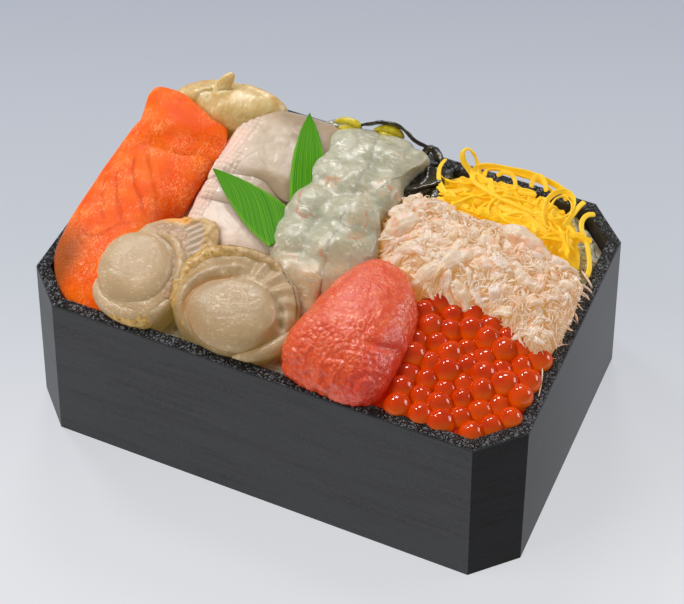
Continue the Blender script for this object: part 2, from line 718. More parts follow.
def build_ginger():
    """Pickled ginger: a broad smooth slice bent over the rest, folds at its left, one tip curled up."""
    outline = [(-44, 32, 61), (-37, 37, 60.5), (-34.5, 44.5, 61), (-39, 47.2, 62.5), (-47, 47.2, 64.5),
               (-56, 46.5, 64.5), (-64, 42, 62), (-69, 36.5, 60), (-62, 32, 61), (-54, 29.5, 61.5)]
    core = pillow(outline, 67.4, spokes=300, rings=90, power=2.6, bend=0.6)
    p = core.points
    dz = 0.7 * rough(p, 9.0, 2, 9) - 0.8 * ridge(p, [(-58.4, 41), (-57.0, 36), (-54.5, 30)], 1.8, 0.0)
    dz += 0.7 * ridge(p, [(-50.0, 46.5), (-43.0, 46.0), (-37.5, 45.0)], 1.6)
    dz += 0.8 * ridge(p, [(-56.2, 36.6), (-54.0, 39.2), (-54.0, 42.0)], 2.2)
    core.points[:, 2] += dz * step_up(p[:, 2], 58.0, 61.0)

    def fold(points, widths, rise, roll, thickness=1.5, wave=0.0, seed=0):
        path = np.array(points, float)

        def place(share, side):
            here = path_points(path, share)
            ahead = path_points(path, share + 0.02) - path_points(path, share - 0.02)
            ahead /= np.maximum(np.linalg.norm(ahead, axis=1), 1e-9)[:, None]
            flat = np.column_stack([-ahead[:, 1], ahead[:, 0], np.zeros(len(ahead))])
            flat /= np.maximum(np.linalg.norm(flat, axis=1), 1e-9)[:, None]
            sideways = flat * math.cos(roll) + np.array([0, 0, 1.0]) * math.sin(roll)
            width = path_points([(w, 0.0, 0.0) for w in widths], share)[:, 0]
            width = width * np.sqrt(np.clip(1.0 - np.abs(2 * share - 1) ** 6.0, 0.02, 1.0))
            out = here + sideways * (0.5 * width * side)[:, None]
            out[:, 2] -= rise * side ** 2
            out[:, 2] += wave * np.sin(7.0 * share + 2.0 * seed) * side ** 2
            out += 0.25 * np.column_stack([rough(out, 5.0, 1, seed), rough(out, 5.0, 1, seed + 3),
                                           rough(out, 5.0, 1, seed + 6)])
            return out

        return sheet(place, 70, 30, thickness)

    slices = [
        fold([(-72, 37.5, 59.5), (-67, 41, 62), (-61, 44, 64), (-56, 45.5, 64.5)], [6, 8, 7, 5], 2.0, 0.1,
             1.2, 0.2, 1),
        fold([(-69.5, 35.5, 61.5), (-65.8, 36.2, 64.5), (-62.2, 38, 66.2), (-58.6, 40, 66.2)], [5, 7, 8, 6],
             2.4, 0.0, 1.3, 0.2, 2),
        fold([(-54.6, 39.5, 67.6), (-54.2, 42.2, 69.4), (-52.9, 44.5, 70.9)], [5.5, 4.2, 2.4], 0.6, 0.45,
             1.2, 0.1, 6),
    ]
    whole = joined(core, *slices)
    paint = flesh("ginger", 0.4, 0.5, 3.0, (1.0, 0.75, 0.4))
    streak = paint.noise(1.6, 3.0, place=paint.stretched(1.0, 0.3, 1.0, 0.6))
    paint.clouded(paint.ramp(streak, 0.3, 0.7), "#c3a36d", "#d1b682")
    paint.over(paint.patches(5.0, 0.48, 0.66, 0.0, 0.7), "#c58e40")
    speck = paint.noise(0.9, 1.0, 0.5, warp=0.5, place=paint.stretched(1.0, 0.4, 1.0, 0.6))
    speck = paint.maths("MULTIPLY", paint.ramp(speck, 0.54, 0.68, 0.0, 0.6), paint.patches(3.5, 0.46, 0.6))
    paint.over(speck, "#e3d6b6")
    paint.bumped((streak, 0.2), (paint.noise(0.7), 0.06))
    paint.lit("#ffe400", 0.05)
    paint.wet(0.6, 0.14, (streak, 0.2), (paint.noise(0.6, 2.0), 0.1))
    dress("ginger", whole, paint.material, "pickled_ginger")


def build_squid():
    """Three squid slices, scored in a fine grid along their left edges."""
    low = [(-14, -8, 57), (-16, 8, 59), (-30, 12, 60), (-44, 8, 59), (-45, -2, 57.5),
           (-43, -9, 57), (-36, -13, 56.5), (-22, -13, 56.5)]
    middle = [(-17, 10, 60), (-18, 20, 61), (-43, 20, 60), (-45, 10, 59.5), (-44.5, 2, 58.5),
              (-39, 1, 59), (-30, 3, 61), (-20, 3, 61)]
    top = [(-12, 28, 61), (-14, 43, 59), (-22, 47, 58), (-32, 46.5, 58.5), (-42, 43.5, 60),
           (-45.5, 36, 61.5), (-45.2, 10.5, 61.0), (-40.5, 9.5, 61.5), (-28, 12.5, 62.5), (-17.5, 10, 61.5)]
    paint = flesh("squid", 0.45, 0.6, 3.5, (1.0, 0.8, 0.6))
    paint.clouded(paint.patches(9.0, 0.35, 0.7), "#a68f72", "#b29b7d")
    paint.over("bright", "#e4cdbc")
    paint.over("pink", "#f0c4b4")
    paint.bumped((paint.noise(4.5, 2.0, warp=0.7), 0.25))
    paint.wet(0.7, 0.08, (paint.noise(2.4, 3.0, warp=1.0), 0.36), (paint.noise(0.7, 2.0), 0.1))
    shapes = []
    for name, outline, crown, base, seed in (("squid_slice_low", low, 60.8, bed_rest, 1),
                                             ("squid_slice_middle", middle, 63.2, level(57.5), 2),
                                             ("squid_slice_top", top, 65.2, level(57.5), 3)):
        slice_ = pillow(outline, crown, base=base, spokes=460, rings=130, power=3.2, bend=0.5)
        p = slice_.points
        up = slice_.upward(0.1, 0.5)
        dz = 0.2 * np.sin(p[:, 0] / 4.0 + p[:, 1] / 9.0) + 0.2 * rough(p, 5.0, 2, seed)
        limit = 36.8 if name == "squid_slice_top" else 40.5
        band = step_up(-p[:, 0] - 0.1 * (p[:, 1] - 20.0) + 0.8 * rough(p, 3.0, 1, 5), limit, limit + 1.6)
        bent = p + 0.35 * np.column_stack([rough(p, 4.0, 1, 41), rough(p, 4.0, 1, 42), rough(p, 4.0, 1, 43)])
        u = (bent[:, 1] + 0.2 * bent[:, 0]) / 1.9
        v = (bent[:, 0] - 0.05 * bent[:, 1]) / 1.8
        net = (np.abs(np.sin(math.pi * u)) * np.abs(np.sin(math.pi * v))) ** 0.4
        dz += band * 0.5 * (net - 0.6)
        if name == "squid_slice_top":
            dz -= 0.8 * step_up(16.0 - p[:, 1], 0.0, 6.0)
        if name == "squid_slice_middle":
            dz -= 1.7 * step_up(p[:, 0], -32.0, -20.0)
        if name == "squid_slice_low":
            dz += 0.3 * ridge(p, [(-28.2, -1.0), (-27.7, -3.5), (-27.2, -9.0), (-26.9, -15.0)], 2.2, 0.0)
            dz += 0.2 * ridge(p, [(-38.0, -1.0), (-34.7, -5.5), (-33.2, -12.0)], 2.2, 0.0)
        slice_.points[:, 2] += dz * up
        pink = step_up(-p[:, 0], 37.0, 45.0) * step_up(rough(p, 4.0, 2, 8), -0.6, 0.5) * 0.7
        bright = np.maximum(step_up(-p[:, 0] - 0.15 * p[:, 1], 27.0, 40.0), step_up(-p[:, 1], -9.0, 0.0))
        slice_.paint(pink=pink, bright=0.8 * bright)
        shapes.append(slice_)
        dress(name.replace("slice", "cut"), slice_, paint.material, name)
    return shapes


def build_leaves(under):
    """Two green leaves draped on the slices, their veins parallel."""
    trees = [shape.tree() for shape in under]
    for name, node, tip, foot, half_width, lean in (
            ("leaf_a", "leaf_left", (-43.7, 10.9, 63.5), (-12.2, -3.4, 61.5), 7.4, 0.52),
            ("leaf_b", "leaf_right", (-26.8, 44.4, 63.5), (-11.6, 9.8, 62.0), 5.6, 0.0)):
        tip = np.array(tip)
        foot = np.array(foot)
        run = foot - tip
        length = float(np.hypot(run[0], run[1]))
        side_way = np.array([-run[1], run[0], 0.0]) / length

        def place(share, side):
            half = half_width * np.sin(np.minimum(1.0, 0.012 + 1.15 * share) * math.pi / 2.0)
            out = tip + run * share[:, None] + side_way * (half * side)[:, None]
            for index, spot in enumerate(out):
                for tree in trees:
                    hit = tree.ray_cast(Vector((spot[0], spot[1], 90.0)), Vector((0, 0, -1)))[0]
                    if hit:
                        spot[2] = max(spot[2], hit.z + 0.45)
                out[index] = spot
            terms = np.column_stack([np.ones(len(share)), share, side, share ** 2, side * share, side ** 2,
                                     share ** 3])
            smooth = terms @ np.linalg.lstsq(terms, out[:, 2], rcond=None)[0]
            out[:, 2] = smooth + 0.7 * float(np.max(out[:, 2] - smooth))
            return out

        leaf = sheet(place, 90, 24, 0.35)
        along = leaf.painted["along"] * length
        across = leaf.painted["side"] * half_width
        vein = across * math.cos(lean) + along * math.sin(lean) if lean else across
        border = np.abs(leaf.painted["side"]) * np.minimum(1.0, 0.6 + leaf.painted["along"])
        leaf.paint(vein=vein, border=step_up(border, 0.86, 0.97))
        paint = Paint(node + "_green", 0.5, Specular_IOR_Level=0.12, Subsurface_Weight=0.1,
                      Subsurface_Scale=1.0 * MM)
        spread = paint.nodes.new("ShaderNodeCombineXYZ")
        paint.links.new(paint.painted("vein"), spread.inputs[0])
        fine = paint.noise(0.35, 1.0, 0.5, place=spread.outputs[0])
        broad = paint.noise(1.6, 2.0, 0.5, place=spread.outputs[0])
        paint.clouded(paint.ramp(fine, 0.4, 0.6), "#327a00", "#5a9c0c")
        paint.over(paint.ramp(broad, 0.5, 0.75, 0.0, 0.6), "#2f7402")
        paint.over("border", "#86b83c", 0.5)
        paint.bumped((fine, 0.12))
        dress(name, leaf, paint.material, node)


def lobed(lobes, drop=2.4, blur=0.9):
    """The height of flesh that bulges in soft lobes, each with a centre, radii, turn and peak."""

    def height(x, y):
        total = np.zeros(np.shape(x))
        for cx, cy, rx, ry, turn, peak in lobes:
            c = math.cos(turn)
            s = math.sin(turn)
            u = ((x - cx) * c + (y - cy) * s) / rx
            v = ((y - cy) * c - (x - cx) * s) / ry
            total = total + np.exp((peak - 60.0 - drop * (u * u + v * v)) / blur)
        return 60.0 + blur * np.log(total + 1e-9)

    return height


def build_prawns():
    """Two raw peeled prawns, opened out: soft lobes with shallow creases and fine orange veins."""
    left = [(5, -27, 56.5), (6.0, -18, 57.5), (7.0, -8, 59.5), (7.0, 4, 60.5), (6.5, 14, 61), (6.0, 24, 61),
            (5, 34, 61), (4.5, 44, 60), (-3, 48.3, 60.2), (-9, 48.4, 60), (-15.5, 45.8, 59.5),
            (-17.6, 41.3, 60), (-16.2, 35, 60.8), (-17.6, 29, 61), (-17.0, 23.5, 61.2),
            (-15.2, 18.4, 61.4), (-17.2, 14, 61.2), (-17.8, 7, 61), (-17.7, -0.5, 60.5),
            (-15.6, -7.8, 59.4), (-14, -13, 58), (-12, -20, 57), (-5, -27, 56.5)]
    right = [(9.5, -21, 56.5), (13.5, -10, 58.0), (14.9, -0.2, 58.5), (12.8, 8, 58.6), (10.6, 13.6, 58.8),
             (12.6, 18.4, 58.8), (12.8, 24, 58.8), (11.0, 30.6, 58.8), (12.0, 36.5, 59.2),
             (13.6, 40.4, 59.4), (14.0, 43.6, 59.6), (12.0, 45.8, 59.6), (8.6, 46.2, 59.4),
             (5, 48.4, 60.2), (-4, 48.3, 60), (-5, 40, 60.5), (-5, 30, 61), (-4, 20, 61), (-3, 10, 61),
             (-2, 0, 60), (-2, -12, 58), (0, -19, 57)]
    lobes = [(-10.8, -3, 7.6, 7.2, 0, 65.0), (-10.8, 10.7, 7.8, 7.4, 0.2, 66.2),
             (-11.2, 25.4, 7.6, 7.8, 0, 66.9), (-11.4, 39.1, 7.8, 7.8, 0, 66.4),
             (2.6, -2.8, 7.4, 7.2, 0, 66.4), (2.8, 9.9, 7.2, 7.0, 0, 67.5),
             (-2.4, 22.8, 6.6, 7.0, 0.3, 67.8), (-3.0, 36.4, 7.4, 7.4, 0, 67.4),
             (-6.5, -14.5, 8.0, 6.4, 0, 63.6), (2.0, -14.0, 7.0, 6.2, 0, 64.0),
             (-1, -24, 8, 6, 0, 60.2), (-5, 46, 9, 4, 0, 64.6), (7.2, 23.4, 6.0, 7.2, 0, 66.6),
             (9.4, 11.6, 4.6, 5.4, 0, 64.6), (4.8, 36.0, 7.2, 7.0, 0, 66.8),
             (10.4, 42.6, 4.8, 4.0, 0.3, 65.4), (11.4, 1.4, 5.2, 6.0, 0, 64.0), (8.6, -9, 6.4, 6.4, 0, 63.0),
             (6, -18, 5, 5, 0, 59.8), (3.5, 45, 6, 4, 0, 65.2)]
    paint = flesh("prawn", 0.45, 0.8, 4.0, (1.0, 0.95, 0.8))
    veil = paint.noise(3.4, 3.0, 0.55, warp=0.8)
    paint.clouded(paint.ramp(veil, 0.3, 0.75), "#a9a78d", "#bbb69f")
    milk = paint.noise(2.6, 4.0, 0.6, warp=1.5, place=paint.stretched(0.6, 1.2, 1.0, 0.5))
    paint.over(paint.ramp(milk, 0.5, 0.75, 0.0, 0.5), "#d8d2be")
    flecks = paint.noise(0.8, 1.0, 0.5, warp=0.6, place=paint.stretched(0.5, 1.3, 1.0, 0.3))
    where = paint.patches(4.5, 0.48, 0.62, detail=2.0)
    flecks = paint.maths("MULTIPLY", paint.ramp(flecks, 0.54, 0.66, 0.0, 0.7), where)
    paint.over(flecks, "#f2ecde")
    paint.over("crease", "#a9aa90")
    streaks = paint.noise(1.3, 3.0, 0.6, warp=0.6, place=paint.stretched(0.5, 1.3, 1.0, 0.4))
    shown = paint.maths("MULTIPLY", paint.painted("pink"), paint.ramp(streaks, 0.38, 0.58, 0.45, 1.1))
    paint.over(shown, "#ca9864")
    paint.over("vein", "#cc7440")
    strands = paint.noise(0.9, 3.0, 0.6, warp=0.5, place=paint.stretched(0.5, 1.3, 1.0, 0.3))
    paint.bumped((paint.noise(3.4, 2.0, warp=0.8), 0.2))
    paint.wet(0.8, 0.1, (paint.noise(3.2, 3.0, warp=1.0), 0.22), (strands, 0.12))
    veins = [[(-12.3, 15.0), (-9.3, 19.1), (-5.8, 20.1), (-5.1, 22.1)],
             [(-13.0, 13.0), (-14.8, 10.0), (-13.0, 5.3), (-10.2, 2.7), (-9.0, 4.3), (-6.4, 3.8)],
             [(1.8, 17.4), (3.7, 20.4), (4.8, 21.5)], [(7.5, 24.3), (9.1, 23.4), (11.5, 21.6)],
             [(4.1, 15.7), (6.5, 12.9), (8.6, 6.6), (7.2, -0.3), (5.6, 1.6)], [(-9.9, -11.7), (-5.7, -11.5)],
             [(2.2, 2.2), (3.7, 4.0)], [(8.0, 27.0), (6.0, 25.0), (5.4, 21.0)], [(5.0, 38.0), (8.4, 37.0)],
             [(-8.5, 26.0), (-5.8, 27.2)], [(-1.0, -6.0), (1.0, -9.0), (3.5, -10.0)]]
    field = lobed(lobes)

    def top(x, y, share, edge):
        return edge + (field(x, y) - edge) * np.clip(1.0 - share ** 6.0, 0.0, 1.0) ** 0.5

    for name, node, outline, seed in (("prawn_a", "prawn_left", left, 1),
                                      ("prawn_b", "prawn_right", right, 2)):
        body = cap(outline, top, bed_rest, spokes=420, rings=120)
        p = body.points
        lift = field(p[:, 0], p[:, 1])
        around = 0.25 * (field(p[:, 0] + 2, p[:, 1]) + field(p[:, 0] - 2, p[:, 1])
                         + field(p[:, 0], p[:, 1] + 2) + field(p[:, 0], p[:, 1] - 2))
        crease = step_up(around - lift, 0.0, 0.7)
        body.push(0.4 * rough(p, 4.0, 2, 1) + 0.05 * rough(p, 1.2, 2, seed + 4))
        p = body.points
        waver = wavered(p, 1.1, 2.0, 3, 13)
        line = np.zeros(len(p))
        for points in veins:
            line = np.maximum(line, ridge(waver, points, 0.45, 0.3))
        broken = step_up(rough(p, 1.6, 2, 33), -0.5, 0.3)
        patchy = step_up(rough(p, 2.2, 2, 21), -0.2, 0.4)
        pink = 0.7 * step_up(-p[:, 1] + 0.3 * p[:, 0] + 5.0 * rough(p, 5.0, 2, 6), -2.0, 24.0)
        for centre, radius, most in (((10.0, 22.0), 4.0, 0.5), ((-8.0, 18.5), 4.0, 0.45),
                                     ((8.0, 5.0), 6.0, 0.5), ((4.0, 20.0), 6.0, 0.25)):
            pink = np.maximum(pink, most * blot(p, centre, radius) * patchy)
        body.paint(vein=line * broken * (p[:, 2] > 57.5) * 0.62, pink=pink, crease=0.7 * crease)
        dress(name, body, paint.material, node)


def scallop_paint(name, shade=0.0):
    """Boiled scallop: beige muscle, browner mantle, spotted frill, grainy gill."""
    paint = flesh(name, 0.5, 0.3, 2.5)
    cloud = paint.noise(5.0, 3.0)
    paint.clouded(paint.ramp(cloud, 0.35, 0.7), "#977c5c", "#ac9171")
    paint.over("pale", "#bda285")
    speck = paint.noise(0.8, 1.0, 0.5, warp=0.4, place=paint.stretched(0.6, 1.2, 1.0, 0.5))
    speck = paint.maths("MULTIPLY", paint.ramp(speck, 0.56, 0.68, 0.0, 0.4), paint.ramp(cloud, 0.4, 0.6))
    paint.over(speck, "#ead8bc")
    paint.over("gold", "#a0622c")
    frill = paint.blend(paint.patches(1.6, 0.4, 0.66, detail=4.0), "#cda864", "#a3733a")
    frill = paint.blend(paint.patches(0.8, 0.64, 0.72), frill, "#463120")
    paint.over("frill", frill)
    gill = paint.blend(paint.patches(1.1, 0.35, 0.65), "#8f6c54", "#b4937a")
    paint.over("gill", gill)
    paint.over("lilac", "#b3a090")
    paint.over("orange", "#e59a3c")
    paint.over("dark", "#33261c")
    if shade:
        paint.over(shade, "#3c2a18")
    grain = paint.noise(1.2, 4.0, 0.6)
    paint.bumped((grain, 0.2), (paint.noise(0.4, 2.0), 0.06))
    paint.lit("#ffd566", 0.08)
    fine = paint.noise(0.7, 1.0, 0.5, place=paint.stretched(1.2, 0.6, 1.0, 0.4))
    paint.wet(0.5, 0.12, (paint.noise(2.2, 3.0, warp=0.8), 0.2), (grain, 0.12), (fine, 0.06))
    return paint.material


def build_scallops():
    """Two boiled scallops, each muscle standing out of its mantle."""
    material = scallop_paint("scallop_shaded", 0.14)
    body = [(3.8, -34, 58.5), (1, -24, 60.5), (-7, -17, 62), (-17, -14.5, 62), (-27, -16, 60.5),
            (-34, -22, 59), (-35, -34, 57.6), (-28, -44, 57), (-14, -48.7, 57), (-2, -45, 57)]
    disc = [(-0.6, -38, 63.4), (-4.0, -30.8, 64.8), (-12.4, -27.0, 65.2), (-21.2, -30.0, 64.8),
            (-26.2, -36, 63.8), (-26.0, -42.4, 62.0), (-20, -48.0, 60.0), (-11, -49.2, 59.4),
            (-3.4, -46.2, 61.0)]
    mantle = pillow(body, 63.6, spokes=400, rings=112, power=6.0, bend=0.5)
    p = mantle.points
    centre = np.array([-13.0, -36.5])
    angle = np.arctan2(p[:, 1] - centre[1], p[:, 0] - centre[0])
    reach = np.hypot(p[:, 0] - centre[0], p[:, 1] - centre[1])
    up = mantle.upward(-0.1, 0.3)
    right_side = step_up(np.cos(angle - 0.62), 0.2, 0.75)
    pleat = 0.5 + 0.5 * np.cos(angle * 19.0 + 0.12 * reach + 0.8 * rough(p, 9.0, 1, 4))
    dz = right_side * (1.2 * pleat - 0.9) * step_up(reach, 11.0, 13.5)
    dz -= 1.6 * ridge(p, [(-7.0, -27.6), (-2.6, -30.6), (0.2, -35.4), (1.2, -40.7), (-0.5, -46.5)], 1.3)
    dz += 0.9 * ridge(p, [(-29.5, -42.0), (-30.4, -36.0), (-28.0, -29.4), (-22.0, -23.6), (-14, -21.0)],
                      2.2)
    dz += 0.25 * rough(p, 4.0, 2, 3)
    groove = ridge(p, [(-26.6, -44.0), (-27.8, -37.0), (-24.6, -30.4), (-18.0, -26.0)], 1.0)
    dz -= 0.6 * groove
    mantle.points[:, 2] += dz * up
    dark = ridge(p, [(-30.9, -28.6), (-30.1, -24.5), (-28.5, -21.9), (-25.9, -19.5), (-21.8, -17.2)],
                 0.3)
    dark = np.maximum(dark, ridge(p, [(-22.3, -16.2), (-17.5, -15.4), (-11.9, -16.1), (-6.8, -18.5),
                                      (-1.7, -22.4), (2.1, -28.0), (3.4, -32.0)], 0.32))
    dark = np.maximum(dark, ridge(p, [(1.3, -40.0), (0.0, -43.4), (-1.6, -45.4)], 0.35))
    lilac = 0.7 * ridge(p, [(-6.3, -27.2), (-2.0, -30.4), (0.6, -34.8), (1.5, -40.0), (-0.3, -46.5)], 1.4)
    mantle.paint(dark=dark, lilac=lilac, gill=0.0, orange=0.0, pale=0.6 * right_side,
                 gold=0.8 * groove,
                 frill=0.5 * step_up(-np.cos(angle - 0.4), 0.2, 0.9) * step_up(reach, 16.5, 19.0))
    muscle = pillow(disc, 65.9, slope=(0.0, 0.13), base=level(58.0), spokes=300, rings=90, power=4.0,
                    bend=0.6)
    q = muscle.points
    up = muscle.upward(0.3, 0.7)
    dz = 0.35 * rough(q, 7.0, 2, 7)
    waver = wavered(q, 0.8, 3.0, 51, 52)
    for points, depth in (([(-21, -37), (-12, -36.5), (-5, -32)], 0.06),
                          ([(-19, -44), (-11, -41), (-4, -37)], 0.05),
                          ([(-15, -29.5), (-9.5, -36), (-8, -44)], 0.06),
                          ([(-23, -41), (-16, -45), (-9, -46.5)], 0.06)):
        dz -= depth * ridge(waver, points, 0.7)
    muscle.points[:, 2] += dz * up
    rim = np.clip(1.0 - (q[:, 2] - 60.0) / 5.0, 0.0, 1.0)
    muscle.paint(pale=0.4, gold=0.6 * rim * step_up(-q[:, 0], 15.0, 24.0))
    frill = tube([(-25, -45, 58.4), (-31.5, -37, 59.2), (-33.2, -28, 60.2), (-28.5, -19.5, 61.6),
                  (-20, -16.2, 62.4), (-11, -16.6, 62.6), (-4.0, -20.4, 62.0)],
                 [1.2, 2.6, 2.9, 2.8, 2.2, 1.6, 0.7], sides=32, steps=280)
    f = frill.points
    share = frill.painted["along"]
    frill.push((0.9 - 0.6 * share) * rough(f, 2.6, 2, 5) + 0.2 * rough(f, 1.0, 2, 6))
    frill.paint(frill=0.95 - 0.75 * step_up(share, 0.45, 0.8), pale=0.3 * share,
                dark=0.9 * ridge(frill.points, [(-27.0, -17.6), (-22.0, -14.9), (-17.0, -14.3),
                                                (-11.9, -15.2)], 0.35))
    lip = tube([(3.4, -34, 58.6), (2.8, -39, 58.6), (0.6, -43.2, 58.4), (-3.2, -46.8, 58.0),
                (-8.6, -49.0, 57.2)], [0.8, 2.0, 2.3, 2.0, 0.9], sides=28, steps=120, squash=0.95)
    lip.push(0.2 * rough(lip.points, 2.0, 2, 8))
    lip.paint(pale=0.5)
    dress("scallop_b", joined(mantle, muscle, frill, lip), material, "scallop_right")
    material = scallop_paint("scallop")
    body = [(-31, -30, 59), (-30, -16, 60), (-34, -7, 60.5), (-43, -9, 61), (-51, -14, 61),
            (-57, -24, 60), (-57, -37, 58.5), (-52, -46, 57.3), (-44, -48.6, 57), (-35, -47.5, 57)]
    disc = [(-36.0, -34, 62.4), (-38.6, -27.4, 63.6), (-45.2, -22.6, 64.4), (-52.9, -23.4, 64.2),
            (-57.6, -28.8, 63), (-57.6, -37, 61.0), (-53.0, -43.6, 59.2), (-45, -46.0, 58.6),
            (-37.4, -43.0, 59.8)]
    mantle = pillow(body, 62.4, spokes=400, rings=112, power=4.5, bend=0.5)
    p = mantle.points
    up = mantle.upward(-0.1, 0.3)
    dz = 0.35 * rough(p, 4.0, 2, 13)
    gill = step_up(1.6 - path_distance(p[:, :2], [(-46.5, -15.5), (-41, -17.5), (-37.5, -22.5),
                                                  (-34.5, -29.0), (-33.8, -37.0)])[0]
                   / (2.6 + 0.9 * rough(p, 3.0, 2, 3)), 0.0, 1.0)
    dz += gill * (0.3 * rough(p, 1.2, 2, 14) + 0.3)
    lilac = step_up(1.3 - path_distance(p[:, :2], [(-39.5, -12.0), (-36.3, -14.5), (-34.4, -19.5)])[0]
                    / 2.6, 0.0, 0.6)
    dz += lilac * 0.35 * np.cos((p[:, 0] - 0.6 * p[:, 1]) * 2.4)
    edge_frill = step_up(1.4 - path_distance(p[:, :2], [(-41.5, -8.6), (-37.5, -6.6), (-33.1, -11.4),
                                                        (-31.0, -17.8)])[0] / 2.2, 0.0, 0.6)
    dz += edge_frill * (0.8 * rough(p, 2.0, 2, 15) + 0.4)
    low_edge = step_up(-p[:, 1] + 0.5 * rough(p, 1.5, 1, 2), 46.8, 47.8)
    mantle.points[:, 2] += dz * up
    mantle.paint(gill=gill * (1 - lilac), lilac=lilac * (1 - edge_frill), dark=0.0,
                 frill=np.maximum(0.5 * edge_frill, low_edge), pale=0.4, gold=0.0,
                 orange=0.9 * ridge(p, [(-48.2, -12.6), (-44.3, -11.0), (-40.2, -11.0)], 1.4))
    muscle = pillow(disc, 65.6, slope=(-0.02, 0.14), base=level(57.0), spokes=300, rings=90, power=4.6,
                    bend=0.56)
    q = muscle.points
    waver = wavered(q, 0.8, 4.0, y_seed=53)
    muscle.points[:, 2] += 0.2 * rough(q, 7.0, 2, 17) - 0.04 * ridge(
        waver, [(-56, -36.5), (-51, -38.8), (-45, -39), (-40, -37)], 0.6)
    muscle.paint(pale=0.5)
    collar = tube([(-48, -18.6, 62.2), (-41.4, -20.0, 62.6), (-36.6, -25, 62.0), (-34.4, -32, 61),
                   (-35.4, -39.0, 60.0)], [0.6, 1.4, 1.7, 1.6, 0.9], sides=24, steps=140)
    collar.push(0.3 * rough(collar.points, 2.0, 2, 18))
    collar.paint(pale=0.3, gill=0.15)
    folds = [
        ([(-57.4, -34.5, 58.6), (-55.4, -41.4, 57.8), (-50.4, -45.8, 57.4), (-44.0, -47.0, 57.4),
          (-38.4, -45.8, 57.8), (-34.6, -41.8, 58.6), (-33.0, -35.0, 59.6)],
         [0.8, 1.9, 2.4, 2.6, 2.6, 2.3, 1.1], 0.6, 0.0),
        ([(-51.0, -46.9, 57.4), (-46.0, -48.6, 57.2), (-40.0, -48.8, 57.2), (-35.4, -47.6, 57.4)],
         [0.9, 1.3, 1.4, 0.9], 0.3, 0.85),
    ]
    parts = []
    for points, radii, pale, frilled in folds:
        part = tube(points, radii, sides=24, steps=120)
        part.push(0.35 * rough(part.points, 3.0, 2, 19) + 0.12 * rough(part.points, 1.2, 1, 20))
        under = step_up(-part.normals()[:, 2], 0.1, 0.6)
        part.paint(pale=pale, frill=np.maximum(frilled, under * 0.8))
        parts.append(part)
    dress("scallop_a", joined(mantle, muscle, collar, *parts), material, "scallop_left")


def build_pollock_roe():
    """The roe sac: a wrinkled glossy skin over fine grains, its lower end coarse."""
    outline = [(36, -20, 57.5), (30, -8, 60), (22, -2, 60), (15, -3, 60), (9, -12, 59), (6, -25, 58),
               (4, -38, 57), (6, -46.5, 57.2), (14, -49.5, 57.6), (24, -50.6, 57.8), (32, -49.5, 57.6),
               (36.5, -40, 57.2)]
    sac = pillow(outline, 70.0, spokes=520, rings=170, power=2.4, bend=0.42)
    p = sac.points
    coarse = step_up(-p[:, 1] - 0.35 * p[:, 0] + 3.0 * rough(p, 6.0, 2, 2), 20.0, 36.0)
    lobe = step_up(p[:, 0] - 0.25 * (p[:, 1] + 40) + 1.5 * rough(p, 4.0, 2, 5), 27.0, 31.0)
    lobe *= step_up(-p[:, 1], 22.0, 34.0)
    p2 = p.copy()
    p2[:, 1] *= 0.55
    wrinkle = np.abs(rough(p2, 3.4, 2, 3))
    nubs = 0.5 - grains_noise(p, 1.5, 5)
    amount = (0.4 * rough(p, 7.0, 2, 1) + 0.5 * (wrinkle - 0.3) * (1 - coarse) + 0.18 * nubs
              + coarse * (0.45 * nubs + 0.6 * rough(p, 3.2, 2, 6)))
    amount -= 0.8 * ridge(p, [(24.5, -35.0), (28.0, -37.0), (32.0, -36.0), (37.0, -31.0)], 1.2)
    edge = ridge(p, [(5.0, -46), (14, -49.5), (24, -50.6), (33, -49.4)], 2.4, 0.0)
    amount += edge * (0.9 * rough(p, 2.6, 2, 9) + 0.1)
    amount *= step_up(p[:, 2], 53.0, 56.0)
    sac.push(amount)
    sac.paint(coarse=coarse, lobe=0.6 * lobe)
    paint = flesh("roe_sac", 0.45, 0.35, 2.0)
    paint.clouded(paint.patches(3.0, 0.35, 0.7), "#c6400b", "#d1591b")
    specks = paint.noise(0.75, 1.0, 0.5, warp=0.4)
    shown = paint.patches(6.0, 0.42, 0.6, 0.2, 1.0, detail=2.0)
    specks = paint.maths("MULTIPLY", paint.ramp(specks, 0.55, 0.66, 0.0, 0.6), shown)
    paint.over(specks, "#f8b8a0")
    paint.over("coarse", "#c95527", 0.6)
    paint.over("lobe", "#c83e2c")
    paint.bumped((paint.cells(0.7), 0.12), (paint.noise(2.2, 3.0, warp=0.8), 0.4))
    paint.lit("#ff1000", 0.13)
    paint.wet(1.0, 0.06, (paint.noise(2.4, 3.0, warp=1.2), 0.46), (paint.noise(0.7, 2.0, 0.6), 0.12))
    dress("roe_sac", sac, paint.material, "pollock_roe")


